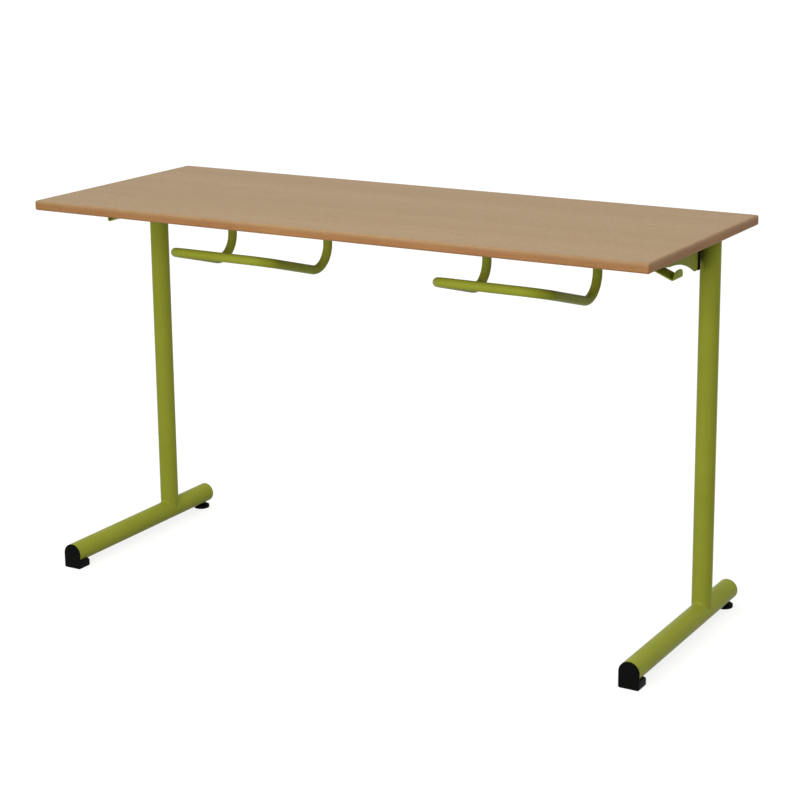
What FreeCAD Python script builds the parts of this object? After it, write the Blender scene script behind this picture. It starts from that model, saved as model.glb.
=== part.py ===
import FreeCAD, Part
import math
import os
import Sketcher

# School desk for two pupils: a laminated top with beech lipping on a welded tube frame with
# two T-shaped legs, a cross beam, two bent book racks, two bag hooks and screw-in rear glides.
# Millimetres. +X runs along the top, the pupils sit on the -Y side, +Z is up.
# The origin is on the floor under the middle of the top.

SIZES = {
    # tabletop
    "top_length": 1300.0,
    "top_depth": 500.0,
    "top_thickness": 19.0,
    "desk_height": 760.0,
    "laminate_thickness": 0.8,
    "lipping_width": 5.0,
    "lipping_round": 4.0,
    # legs; the post is narrower than the foot by a step on each side, which carries the weld
    "post_inset": 33.0,
    "post_setback": 100.0,
    "post_step": 1.0,
    "post_wall": 2.0,
    "foot_diameter": 40.0,
    "foot_wall": 2.0,
    "foot_clearance": 10.5,
    "foot_front": 227.5,
    "foot_rear": 232.0,
    "weld_size": 7.0,
    # flat bars between the legs and the top
    "bar_width": 50.0,
    "bar_thickness": 3.0,
    "bar_front": 200.0,
    "bar_rear": 190.0,
    # cross beam, its back a little ahead of the axis of the posts
    "beam_height": 40.0,
    "beam_depth": 30.0,
    "beam_wall": 1.5,
    "beam_corner": 1.2,
    "beam_lead": 13.5,
    # gussets outside the ends of the beam, and the caps on their rear edges
    "gusset_thickness": 4.0,
    "gusset_outset": 7.0,
    "gusset_lap": 6.0,
    "gusset_root_height": 50.0,
    "gusset_root_flat": 18.0,
    "gusset_radius": 235.0,
    "gusset_arch_height": 21.5,
    "gusset_nose_height": 6.0,
    "gusset_nose_setback": 8.0,
    "cap_length": 10.0,
    "cap_wall": 1.5,
    "cap_back": 2.0,
    # plastic ends of the tubes
    "beam_plug_flange": 2.0,
    "beam_plug_length": 18.0,
    "rear_plug_flange": 2.0,
    "rear_plug_length": 7.0,
    "rear_plug_round": 1.0,
    "plug_wall": 2.0,
    "shoe_flange": 2.5,
    "shoe_length": 31.0,
    "shoe_side_height": 17.5,
    "shoe_rear_chamfer": 4.0,
    "shoe_front_round": 1.2,
    "shoe_spigot": 20.0,
    # screw-in rear glides
    "glide_inset": 17.0,
    "bush_diameter": 12.0,
    "bush_length": 14.0,
    "stud_diameter": 8.0,
    "stud_length": 25.0,
    "stud_chamfer": 1.0,
    "stud_in_pad": 4.0,
    "pad_diameter": 34.0,
    "pad_rim_height": 6.5,
    "pad_neck_diameter": 18.0,
    "pad_sole_round": 1.5,
    # bent book racks
    "rack_tube": 18.0,
    "rack_wall": 1.5,
    "rack_width": 230.0,
    "rack_inset": 356.5,
    "rack_reach": 222.5,
    "rack_drop": 137.5,
    "rack_front_drop": 76.5,
    "rack_bend": 45.0,
    # bag hooks
    "hook_width": 38.0,
    "hook_thickness": 2.5,
    "hook_bend": 3.0,
    "hook_middle": -48.5,
    "hook_tip_outset": 5.5,
    "hook_pad": 36.0,
    "hook_drop": 33.0,
    "hook_run": 38.0,
    "hook_fall": 16.0,
    "hook_tip_rise": 17.0,
    "hook_tip_lean": 2.0,
    "hook_corner": 13.0,
    "hook_corner_flat": 0.5,
    # wood screws
    "screw_diameter": 4.0,
    "screw_length": 16.0,
    "screw_point": 4.0,
    "screw_head_diameter": 8.0,
    "screw_head_height": 2.6,
    "screw_rim_height": 1.3,
    "screw_crown_diameter": 5.6,
    "screw_margin": 20.0,
    "screw_outset": 10.0,
    # clearances
    "joint_gap": 0.1,
    "running_gap": 0.05,
    "glide_gap": 0.5,
    "screw_hole_gap": 0.25,
}

doc = FreeCAD.newDocument("SchoolDesk")
sheet = doc.addObject("Spreadsheet::Sheet", "Size")
for row, (alias, millimetres) in enumerate(SIZES.items(), start=1):
    sheet.set(f"A{row}", alias.replace("_", " "))
    sheet.set(f"B{row}", str(millimetres))
    sheet.setAlias(f"B{row}", alias)
doc.recompute()

pieces = []

# Places that several pieces share, as formulas of the sheet.
UNDERSIDE = "(Size.desk_height - Size.top_thickness)"
BAR_UNDERSIDE = f"({UNDERSIDE} - Size.bar_thickness)"
INNER_LENGTH = "(Size.top_length / 2 - Size.lipping_width)"
INNER_DEPTH = "(Size.top_depth / 2 - Size.lipping_width)"
POST_X = "(Size.top_length / 2 - Size.post_inset)"
POST_RADIUS = "(Size.foot_diameter / 2 - Size.post_step)"
FOOT_RADIUS = "(Size.foot_diameter / 2)"
FOOT_BORE = f"({FOOT_RADIUS} - Size.foot_wall)"
FOOT_AXIS = f"(Size.foot_clearance + {FOOT_RADIUS})"
BEAM_REAR = "(Size.post_setback - Size.beam_lead)"
BEAM_FRONT = f"({BEAM_REAR} - Size.beam_depth)"
BEAM_MIDDLE = f"({BEAM_REAR} - Size.beam_depth / 2)"
BEAM_UNDERSIDE = f"({BAR_UNDERSIDE} - Size.beam_height)"
POST_SIDE = f"({POST_X} - sqrt({POST_RADIUS} * {POST_RADIUS} - Size.beam_lead * Size.beam_lead))"
PLUG_FACE = f"({POST_SIDE} - Size.joint_gap)"
BEAM_END = f"({PLUG_FACE} - Size.beam_plug_flange)"
GUSSET_FACE = f"({PLUG_FACE} + Size.gusset_outset)"
GUSSET_REAR = f"({BEAM_FRONT} + Size.gusset_lap)"
GLIDE_Y = "(Size.foot_rear - Size.glide_inset)"
PAD_TOP = "(Size.foot_clearance - Size.glide_gap)"
SCREW_HOLE = "(Size.screw_diameter / 2 + Size.screw_hole_gap)"
SIDES = (("left", -1), ("right", 1))


def number(formula):
    """Value of a formula of the sheet's cells."""
    return float(sheet.evalExpression(formula))


def piece(thing, label):
    """Names a finished sub-part and lists it."""
    thing.Label = label
    pieces.append(thing)
    return thing


def put(thing, x="0", y="0", z="0"):
    """Ties the place of an object to formulas of the sheet."""
    for axis, formula in (("x", x), ("y", y), ("z", z)):
        thing.setExpression(f"Placement.Base.{axis}", formula)


def new_body(label):
    return piece(doc.addObject("PartDesign::Body", label + "_body"), label)


def new_sketch(body, plane, name):
    """Sketch on one of the body's own origin planes."""
    sketch = body.newObject("Sketcher::SketchObject", name)
    support = next(face for face in body.Origin.OriginFeatures if face.Role == plane)
    sketch.AttachmentSupport = [(support, "")]
    sketch.MapMode = "FlatFace"
    return sketch


def hold(sketch, kind, where, formula):
    """Adds a dimension to a sketch and ties it to a formula."""
    index = sketch.addConstraint(Sketcher.Constraint(kind, *where, number(formula)))
    name = f"{kind}{index}"
    sketch.renameConstraint(index, name)
    sketch.setExpression(f"Constraints.{name}", formula)


def hold_point(sketch, geometry, end, x, y):
    hold(sketch, "DistanceX", (-1, 1, geometry, end), x)
    hold(sketch, "DistanceY", (-1, 1, geometry, end), y)


def outline(sketch, corners, arc_side=None, arc_radius=None):
    """Closed outline; each corner is a pair of formulas, and one side may be an arc."""
    places = [FreeCAD.Vector(number(x), number(y), 0) for x, y in corners]
    for index, start in enumerate(places):
        end = places[(index + 1) % len(places)]
        if index == arc_side:
            chord = end - start
            rise = number(arc_radius) - math.sqrt(number(arc_radius) ** 2 - (chord.Length / 2) ** 2)
            outward = FreeCAD.Vector(chord.y, -chord.x, 0).normalize()
            middle = (start + end) / 2 + outward * rise
            sketch.addGeometry(Part.Arc(start, middle, end), False)
        else:
            sketch.addGeometry(Part.LineSegment(start, end), False)
    for index, (x, y) in enumerate(corners):
        before = (index - 1) % len(corners)
        sketch.addConstraint(Sketcher.Constraint("Coincident", before, 2, index, 1))
        hold_point(sketch, index, 1, x, y)
    if arc_side is not None:
        hold(sketch, "Radius", (arc_side,), arc_radius)


def rectangle(sketch, left, right, bottom, top):
    outline(sketch, [(left, bottom), (right, bottom), (right, top), (left, top)])


def circle(sketch, x, y, radius):
    centre = FreeCAD.Vector(number(x), number(y), 0)
    up = FreeCAD.Vector(0, 0, 1)
    index = sketch.addGeometry(Part.Circle(centre, up, number(radius)), False)
    hold_point(sketch, index, 3, x, y)
    hold(sketch, "Radius", (index,), radius)


def extrude(body, sketch, kind, length, backwards=False):
    """Pad or pocket of a sketch, as long as a formula says."""
    feature = body.newObject(f"PartDesign::{kind}", f"{sketch.Name}_{kind.lower()}")
    feature.Profile = sketch
    feature.Reversed = backwards
    feature.setExpression("Length", length)
    doc.recompute()


def turn(body, sketch, axis):
    """Full revolution of a sketch about one of its own axes."""
    feature = body.newObject("PartDesign::Revolution", f"{sketch.Name}_turned")
    feature.Profile = sketch
    feature.ReferenceAxis = (sketch, [axis])
    feature.Angle = 360
    doc.recompute()


def middle_of(edge):
    return edge.valueAt((edge.FirstParameter + edge.LastParameter) / 2)


def near(first, second, slack=0.001):
    return abs(first - second) < slack


def soften(body, kind, length_name, length, wanted):
    """Fillet or chamfer of the edges of the body's tip that a test picks by their middle."""
    base = body.Tip
    names = [f"Edge{index}" for index, edge in enumerate(base.Shape.Edges, start=1)
             if wanted(middle_of(edge), edge)]
    feature = body.newObject(f"PartDesign::{kind}", f"{base.Name}_{kind.lower()}")
    feature.Base = (base, names)
    feature.setExpression(length_name, length)
    doc.recompute()


def cylinder(name, radius, height, x="0", y="0", z="0", along="Z"):
    """Part cylinder along X, Y or Z from a place given by formulas."""
    turns = {"X": (FreeCAD.Vector(0, 1, 0), 90), "Y": (FreeCAD.Vector(1, 0, 0), -90),
             "Z": (FreeCAD.Vector(0, 0, 1), 0)}
    solid = doc.addObject("Part::Cylinder", name)
    solid.setExpression("Radius", radius)
    solid.setExpression("Height", height)
    solid.Placement.Rotation = FreeCAD.Rotation(*turns[along])
    put(solid, x, y, z)
    return solid


def cut(name, base, *tools):
    for index, tool in enumerate(tools, start=1):
        removed = doc.addObject("Part::Cut", f"{name}_cut{index}")
        removed.Base = base
        removed.Tool = tool
        base = removed
    doc.recompute()
    return base


def bent_path(points, radius):
    """Straight runs joined by tangent arcs: the centre line of a bent bar."""
    edges = []
    start = points[0]
    for before, corner, after in zip(points, points[1:], points[2:]):
        back = (before - corner).normalize()
        ahead = (after - corner).normalize()
        half_angle = back.getAngle(ahead) / 2
        setback = radius / math.tan(half_angle)
        arc_start = corner + back * setback
        arc_end = corner + ahead * setback
        inwards = (back + ahead).normalize()
        arc_middle = corner + inwards * (radius / math.sin(half_angle) - radius)
        edges.append(Part.LineSegment(start, arc_start).toShape())
        edges.append(Part.Arc(arc_start, arc_middle, arc_end).toShape())
        start = arc_end
    edges.append(Part.LineSegment(start, points[-1]).toShape())
    return Part.Wire(edges)


def sweep(name, path, section):
    """Solid made by moving a closed section along a path object."""
    swept = doc.addObject("Part::Sweep", name)
    swept.Sections = [section]
    swept.Spine = (path, [f"Edge{index + 1}" for index in range(len(path.Shape.Edges))])
    swept.Solid = True
    swept.Frenet = False
    doc.recompute()
    return swept


# Where the wood screws go: along each flat bar, clear of the beam and the post, and through
# the pad of each bag hook.
BAR_SCREW_X = f"({POST_X} + Size.screw_outset)"
FRONT_SCREW = "(Size.screw_margin - Size.bar_front)"
BEAM_SCREW = f"({BEAM_FRONT} - Size.screw_margin)"
MIDDLE_SCREW = f"(({FRONT_SCREW} + {BEAM_SCREW}) / 2)"
REAR_SCREW = "(Size.bar_rear - Size.screw_margin)"
BAR_SCREW_ROW = (FRONT_SCREW, MIDDLE_SCREW, BEAM_SCREW, REAR_SCREW)
HOOK_TIP_X = f"({GUSSET_FACE} + Size.hook_tip_outset)"
HOOK_DROP_X = f"({HOOK_TIP_X} - Size.hook_run)"
HOOK_SCREW_X = f"({HOOK_DROP_X} - Size.hook_pad / 2 - Size.hook_thickness)"
HOOK_SCREW_ROW = ("(Size.hook_middle - Size.hook_width / 4)", "(Size.hook_middle + Size.hook_width / 4)")
SIGNS = [sign for side, sign in SIDES]
BAR_SCREWS = [(f"{sign} * {BAR_SCREW_X}", y) for sign in SIGNS for y in BAR_SCREW_ROW]
HOOK_SCREWS = [(f"{sign} * {HOOK_SCREW_X}", y) for sign in SIGNS for y in HOOK_SCREW_ROW]
SCREW_GROUPS = (("bar", BAR_SCREWS), ("hook", HOOK_SCREWS))


def panel(label, bottom, thickness):
    """Sheet of the tabletop, inside the lipping."""
    body = new_body(label)
    sheet_outline = new_sketch(body, "XY_Plane", label + "_outline")
    rectangle(sheet_outline, f"-{INNER_LENGTH}", INNER_LENGTH, f"-{INNER_DEPTH}", INNER_DEPTH)
    extrude(body, sheet_outline, "Pad", thickness)
    put(body, z=bottom)
    return body


def screw_holes(body, depths):
    """Holes from below, under the bars and under the hooks."""
    for carried, places in SCREW_GROUPS:
        holes = new_sketch(body, "XY_Plane", f"{body.Label}_{carried}_holes")
        for x, y in places:
            circle(holes, x, y, SCREW_HOLE)
        extrude(body, holes, "Pocket", depths[carried], backwards=True)


# Tabletop: particle board between two sheets of laminate.
panel("top_laminate", "Size.desk_height - Size.laminate_thickness", "Size.laminate_thickness")
core = panel("tabletop_core", f"{UNDERSIDE} + Size.laminate_thickness",
             "Size.top_thickness - 2 * Size.laminate_thickness")
screw_holes(core, {carried: f"Size.screw_length - Size.{carried}_thickness"
                            " - Size.laminate_thickness + Size.screw_hole_gap"
                   for carried, places in SCREW_GROUPS})
lower_sheet = panel("underside_laminate", UNDERSIDE, "Size.laminate_thickness")
screw_holes(lower_sheet, {carried: "Size.laminate_thickness" for carried, places in SCREW_GROUPS})


def lipping(label, left, right, front, rear, on_outside):
    """Solid wood strip glued round the board, its outer edges rounded."""
    body = new_body(label)
    section = new_sketch(body, "XY_Plane", label + "_outline")
    rectangle(section, left, right, front, rear)
    extrude(body, section, "Pad", "Size.top_thickness")
    soften(body, "Fillet", "Radius", "Size.lipping_round", on_outside)
    put(body, z=UNDERSIDE)


def on_short_side(middle, edge):
    """The level edges at the two ends of the top."""
    level = near(edge.Vertexes[0].Z, edge.Vertexes[1].Z)
    return level and near(abs(middle.x), number("Size.top_length / 2"))


def on_long_side(middle, edge):
    """The same edges, and those round the outer face of a long strip."""
    return near(abs(middle.y), number("Size.top_depth / 2")) or on_short_side(middle, edge)


lipping("front_edge_lipping", "-Size.top_length / 2", "Size.top_length / 2",
        "-Size.top_depth / 2", f"-{INNER_DEPTH}", on_long_side)
lipping("rear_edge_lipping", "-Size.top_length / 2", "Size.top_length / 2",
        INNER_DEPTH, "Size.top_depth / 2", on_long_side)
lipping("left_edge_lipping", "-Size.top_length / 2", f"-{INNER_LENGTH}",
        f"-{INNER_DEPTH}", INNER_DEPTH, on_short_side)
lipping("right_edge_lipping", INNER_LENGTH, "Size.top_length / 2",
        f"-{INNER_DEPTH}", INNER_DEPTH, on_short_side)


def leg(side, sign):
    """Post and foot tube of one T-shaped leg, with the fillet weld where they meet."""
    x = f"{sign} * {POST_X}"
    foot_length = "(Size.foot_front + Size.foot_rear)"
    foot_outer = cylinder(f"{side}_foot_outer", FOOT_RADIUS, foot_length,
                          x, "-Size.foot_front", FOOT_AXIS, along="Y")
    foot_inner = cylinder(f"{side}_foot_inner", FOOT_BORE, foot_length,
                          x, "-Size.foot_front", FOOT_AXIS, along="Y")
    bush_hole = cylinder(f"{side}_bush_hole", "Size.bush_diameter / 2 + Size.running_gap",
                         FOOT_AXIS, x, GLIDE_Y)
    piece(cut(f"{side}_foot", foot_outer, foot_inner, bush_hole), f"{side}_foot_tube")

    post_height = f"({BAR_UNDERSIDE} - {FOOT_AXIS})"
    post_outer = cylinder(f"{side}_post_outer", POST_RADIUS, post_height,
                          x, "Size.post_setback", FOOT_AXIS)
    post_inner = cylinder(f"{side}_post_inner", f"{POST_RADIUS} - Size.post_wall",
                          post_height, x, "Size.post_setback", FOOT_AXIS)
    cope = cylinder(f"{side}_post_cope", f"{FOOT_RADIUS} + Size.joint_gap", foot_length,
                    x, "-Size.foot_front", FOOT_AXIS, along="Y")
    piece(cut(f"{side}_post", post_outer, post_inner, cope), f"{side}_post")

    def on_seam(edge):
        """Edges that lie on the surface of the post and of the foot."""
        across = middle_of(edge).x - number(x)
        from_post = math.hypot(across, middle_of(edge).y - number("Size.post_setback"))
        from_foot = math.hypot(across, middle_of(edge).z - number(FOOT_AXIS))
        return near(from_post, number(POST_RADIUS)) and near(from_foot, number(FOOT_RADIUS))

    joined = post_outer.Shape.fuse(foot_outer.Shape)
    filled = joined.makeFillet(number("Size.weld_size"), [edge for edge in joined.Edges if on_seam(edge)])
    weld = doc.addObject("Part::Feature", f"{side}_weld")
    weld.Shape = filled.cut(post_outer.Shape).cut(foot_outer.Shape)
    piece(weld, f"{side}_post_weld")


for side, sign in SIDES:
    leg(side, sign)


def support_bar(side, sign):
    """Flat steel bar welded on the post and screwed to the underside of the top."""
    body = new_body(f"{side}_support_bar")
    blank = new_sketch(body, "XY_Plane", f"{side}_bar_outline")
    rectangle(blank, "-Size.bar_width / 2", "Size.bar_width / 2", "-Size.bar_front", "Size.bar_rear")
    extrude(body, blank, "Pad", "Size.bar_thickness")
    holes = new_sketch(body, "XY_Plane", f"{side}_bar_holes")
    for y in BAR_SCREW_ROW:
        circle(holes, f"{sign} * Size.screw_outset", y, SCREW_HOLE)
    extrude(body, holes, "Pocket", "Size.bar_thickness", backwards=True)
    put(body, x=f"{sign} * {POST_X}", z=BAR_UNDERSIDE)


def gusset(side, sign):
    """Plate rib under the bar, outside the beam, arched underneath so that knees clear it."""
    body = new_body(f"{side}_gusset")
    shape = new_sketch(body, "YZ_Plane", f"{side}_gusset_outline")
    rise = "(Size.gusset_root_height - Size.gusset_arch_height)"
    run = f"sqrt(2 * Size.gusset_radius * {rise} - {rise} * {rise})"
    root = "-Size.gusset_root_height"
    flat_end = f"({GUSSET_REAR} - Size.gusset_root_flat)"
    nose_end = "(Size.gusset_nose_setback - Size.bar_front)"
    outline(shape, [(GUSSET_REAR, "0"), (GUSSET_REAR, root), (flat_end, root),
                    (f"{flat_end} - {run}", "-Size.gusset_arch_height"),
                    (nose_end, "-Size.gusset_nose_height"), (nose_end, "0")],
            arc_side=2, arc_radius="Size.gusset_radius")
    extrude(body, shape, "Pad", "Size.gusset_thickness")
    left_face = f"{GUSSET_FACE} - Size.gusset_thickness" if sign > 0 else f"-{GUSSET_FACE}"
    put(body, x=left_face, z=BAR_UNDERSIDE)


def gusset_cap(side, sign):
    """Plastic edge cap pushed over the rear edge of the gusset, beside the post."""
    body = new_body(f"{side}_gusset_cap")
    slot_rear = f"({GUSSET_REAR} + Size.joint_gap)"
    rear = f"({slot_rear} + Size.cap_back)"
    front = f"({rear} - Size.cap_length)"
    slot = "(Size.gusset_thickness / 2 + Size.joint_gap)"
    side_face = f"({slot} + Size.cap_wall)"
    block = new_sketch(body, "XY_Plane", f"{side}_cap_outline")
    rectangle(block, f"-{side_face}", side_face, front, rear)
    extrude(body, block, "Pad", "Size.gusset_root_height - Size.joint_gap")
    groove = new_sketch(body, "XY_Plane", f"{side}_cap_groove")
    rectangle(groove, f"-{slot}", slot, front, slot_rear)
    extrude(body, groove, "Pocket", "Size.gusset_root_height", backwards=True)
    put(body, x=f"{sign} * ({GUSSET_FACE} - Size.gusset_thickness / 2)",
        z=f"{BAR_UNDERSIDE} - Size.gusset_root_height")


for side, sign in SIDES:
    support_bar(side, sign)
    gusset(side, sign)
    gusset_cap(side, sign)


def crossbeam():
    """Rectangular tube under the bars that joins the two legs, its ends beside the posts."""
    body = new_body("crossbeam")
    section = new_sketch(body, "YZ_Plane", "beam_section")
    rectangle(section, BEAM_FRONT, BEAM_REAR, "-Size.beam_height", "0")
    extrude(body, section, "Pad", f"2 * {BEAM_END}")
    ends = (0, number(f"2 * {BEAM_END}"))
    soften(body, "Fillet", "Radius", "Size.beam_corner",
           lambda middle, edge: not any(near(middle.x, end) for end in ends))
    bore = new_sketch(body, "YZ_Plane", "beam_bore")
    rectangle(bore, f"{BEAM_FRONT} + Size.beam_wall", f"{BEAM_REAR} - Size.beam_wall",
              "Size.beam_wall - Size.beam_height", "-Size.beam_wall")
    extrude(body, bore, "Pocket", f"2 * {BEAM_END}", backwards=True)
    put(body, x=f"-{BEAM_END}", z=BAR_UNDERSIDE)


crossbeam()


def beam_plug(side, sign):
    """Plastic plug pressed into the end of the beam, its flange against the end face."""
    body = new_body(f"{side}_crossbeam_plug")
    flange = new_sketch(body, "YZ_Plane", f"{side}_plug_flange")
    rectangle(flange, f"{BEAM_FRONT} + Size.joint_gap", f"{BEAM_REAR} - Size.joint_gap",
              "Size.joint_gap - Size.beam_height", "-Size.joint_gap")
    extrude(body, flange, "Pad", "Size.beam_plug_flange", backwards=sign < 0)
    spigot = new_sketch(body, "YZ_Plane", f"{side}_plug_spigot")
    fit = "(Size.beam_wall + Size.joint_gap)"
    rectangle(spigot, f"{BEAM_FRONT} + {fit}", f"{BEAM_REAR} - {fit}",
              f"{fit} - Size.beam_height", f"-{fit}")
    extrude(body, spigot, "Pad", "Size.beam_plug_length", backwards=sign > 0)
    hollow = new_sketch(body, "YZ_Plane", f"{side}_plug_hollow")
    wall = "(Size.beam_wall + Size.joint_gap + Size.plug_wall)"
    rectangle(hollow, f"{BEAM_FRONT} + {wall}", f"{BEAM_REAR} - {wall}",
              f"{wall} - Size.beam_height", f"-{wall}")
    extrude(body, hollow, "Pocket", "Size.beam_plug_length", backwards=sign < 0)
    put(body, x=f"{sign} * {BEAM_END}", z=BAR_UNDERSIDE)


def front_shoe(side, sign):
    """Moulded shoe: a round-topped front, a block that cradles the tube, and a spigot."""
    body = new_body(f"{side}_front_shoe")
    block_length = "(Size.shoe_length - Size.shoe_flange)"
    lower_front = new_sketch(body, "XZ_Plane", f"{side}_shoe_front")
    rectangle(lower_front, f"-{FOOT_RADIUS}", FOOT_RADIUS, "0", FOOT_AXIS)
    extrude(body, lower_front, "Pad", "Size.shoe_flange")
    upper_front = new_sketch(body, "XZ_Plane", f"{side}_shoe_top")
    circle(upper_front, "0", FOOT_AXIS, FOOT_RADIUS)
    extrude(body, upper_front, "Pad", "Size.shoe_flange")
    block = new_sketch(body, "XZ_Plane", f"{side}_shoe_block")
    rectangle(block, f"-{FOOT_RADIUS}", FOOT_RADIUS, "0", "Size.shoe_side_height")
    extrude(body, block, "Pad", block_length, backwards=True)
    rear, top = number(block_length), number("Size.shoe_side_height")
    soften(body, "Chamfer", "Size", "Size.shoe_rear_chamfer",
           lambda middle, edge: near(middle.y, rear) and near(middle.z, top))
    cradle = new_sketch(body, "XZ_Plane", f"{side}_shoe_cradle")
    circle(cradle, "0", FOOT_AXIS, f"{FOOT_RADIUS} + Size.joint_gap")
    extrude(body, cradle, "Pocket", "Size.shoe_length")
    spigot = new_sketch(body, "XZ_Plane", f"{side}_shoe_spigot")
    circle(spigot, "0", FOOT_AXIS, f"{FOOT_BORE} - Size.joint_gap")
    circle(spigot, "0", FOOT_AXIS, f"{FOOT_BORE} - Size.joint_gap - Size.plug_wall")
    extrude(body, spigot, "Pad", "Size.shoe_spigot", backwards=True)
    face = -number("Size.shoe_flange")
    soften(body, "Fillet", "Radius", "Size.shoe_front_round",
           lambda middle, edge: near(middle.y, face) and not near(middle.z, 0))
    put(body, x=f"{sign} * {POST_X}", y="-Size.foot_front")


def rear_plug(side, sign):
    """Round plug in the back end of the foot tube."""
    body = new_body(f"{side}_rear_plug")
    half = new_sketch(body, "YZ_Plane", f"{side}_rear_plug_half")
    spigot = f"({FOOT_BORE} - Size.joint_gap)"
    bore = f"({spigot} - Size.plug_wall)"
    outline(half, [("Size.rear_plug_flange", "0"), ("Size.rear_plug_flange", FOOT_RADIUS),
                   ("0", FOOT_RADIUS), ("0", spigot), ("-Size.rear_plug_length", spigot),
                   ("-Size.rear_plug_length", bore), ("0", bore), ("0", "0")])
    turn(body, half, "H_Axis")
    face = number("Size.rear_plug_flange")
    soften(body, "Fillet", "Radius", "Size.rear_plug_round",
           lambda middle, edge: near(middle.y, face) and edge.Closed)
    put(body, x=f"{sign} * {POST_X}", y="Size.foot_rear", z=FOOT_AXIS)


def glide(side, sign):
    """Screw-in glide: a threaded bush in the tube, an M8 stud and a round plastic pad."""
    x = f"{sign} * {POST_X}"
    bush = cylinder(f"{side}_bush_outer", "Size.bush_diameter / 2", "Size.bush_length",
                    x, GLIDE_Y, "Size.foot_clearance")
    thread = cylinder(f"{side}_bush_thread", "Size.stud_diameter / 2 + Size.running_gap",
                      "Size.bush_length", x, GLIDE_Y, "Size.foot_clearance")
    piece(cut(f"{side}_bush", bush, thread), f"{side}_glide_bush")

    stud = new_body(f"{side}_glide_stud")
    rod = new_sketch(stud, "XY_Plane", f"{side}_stud_section")
    circle(rod, "0", "0", "Size.stud_diameter / 2")
    extrude(stud, rod, "Pad", "Size.stud_length")
    tip = number("Size.stud_length")
    soften(stud, "Chamfer", "Size", "Size.stud_chamfer",
           lambda middle, edge: near(middle.z, tip) and edge.Closed)
    put(stud, x=x, y=GLIDE_Y, z=f"{PAD_TOP} - Size.stud_in_pad")

    pad = new_body(f"{side}_glide_pad")
    half = new_sketch(pad, "XZ_Plane", f"{side}_pad_half")
    socket = "(Size.stud_diameter / 2 + Size.running_gap)"
    socket_floor = f"({PAD_TOP} - Size.stud_in_pad - Size.running_gap)"
    rim = "Size.pad_diameter / 2"
    outline(half, [("0", "0"), (rim, "0"), (rim, "Size.pad_rim_height"),
                   ("Size.pad_neck_diameter / 2", PAD_TOP), (socket, PAD_TOP),
                   (socket, socket_floor), ("0", socket_floor)])
    turn(pad, half, "V_Axis")
    edge_reach = number(rim)
    soften(pad, "Fillet", "Radius", "Size.pad_sole_round",
           lambda middle, edge: near(middle.z, 0) and edge.Closed and near(edge.Curve.Radius, edge_reach))
    put(pad, x=x, y=GLIDE_Y)


for side, sign in SIDES:
    beam_plug(side, sign)
    front_shoe(side, sign)
    rear_plug(side, sign)
    glide(side, sign)


def book_rack(side, sign):
    """One bent tube: two risers under the beam, two rising arms and a front bar."""
    middle = f"{sign} * (Size.top_length / 2 - Size.rack_inset)"
    first = f"({middle} - Size.rack_width / 2)"
    last = f"({middle} + Size.rack_width / 2)"
    reach = f"({BEAM_MIDDLE} - Size.rack_reach)"
    low = f"({UNDERSIDE} - Size.rack_drop)"
    high = f"({UNDERSIDE} - Size.rack_front_drop)"
    corners = [(first, BEAM_MIDDLE, BEAM_UNDERSIDE), (first, BEAM_MIDDLE, low), (first, reach, high),
               (last, reach, high), (last, BEAM_MIDDLE, low), (last, BEAM_MIDDLE, BEAM_UNDERSIDE)]
    points = [FreeCAD.Vector(*[number(formula) for formula in corner]) for corner in corners]
    path = doc.addObject("Part::Feature", f"{side}_rack_path")
    path.Shape = bent_path(points, number("Size.rack_bend"))
    tubes = []
    for name, radius in (("outer", "Size.rack_tube / 2"), ("inner", "Size.rack_tube / 2 - Size.rack_wall")):
        section = doc.addObject("Part::Circle", f"{side}_rack_{name}_section")
        section.setExpression("Radius", radius)
        put(section, *corners[0])
        doc.recompute()
        tubes.append(sweep(f"{side}_rack_{name}", path, section))
    piece(cut(f"{side}_rack", *tubes), f"{side}_rack_tube")


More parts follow.
